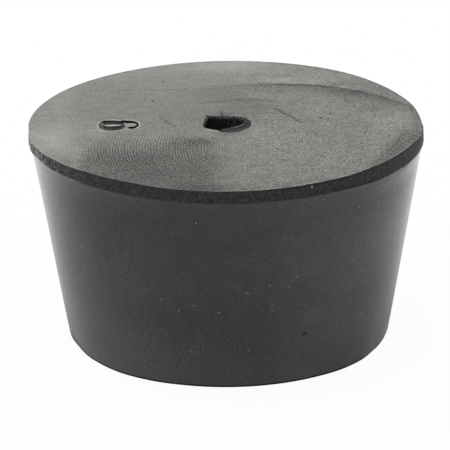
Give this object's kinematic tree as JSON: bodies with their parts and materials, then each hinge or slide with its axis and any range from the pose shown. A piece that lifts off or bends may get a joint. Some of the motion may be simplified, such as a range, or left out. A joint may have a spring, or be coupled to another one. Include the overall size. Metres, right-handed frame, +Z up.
{
  "type": "rubber stopper",
  "caption": "Tapered black rubber laboratory stopper with a tube hole down its axis, a trimmed rim band and a flat large end, for closing a flask or bottle neck.",
  "frame": {"origin": "centre of the small end's face, which the stopper stands on", "axes": "+Z up the axis of the taper, from the small end to the large end; +X to the right and -Y to the front"},
  "size_m": [0.0454, 0.0454, 0.025],
  "materials": {
    "rubber": "satin moulded wall, matt cut rim band, and a large end that carries the mould plate's milling marks"
  },
  "bodies": {
    "root": {"stopper": "rubber"}
  },
  "joints": []
}
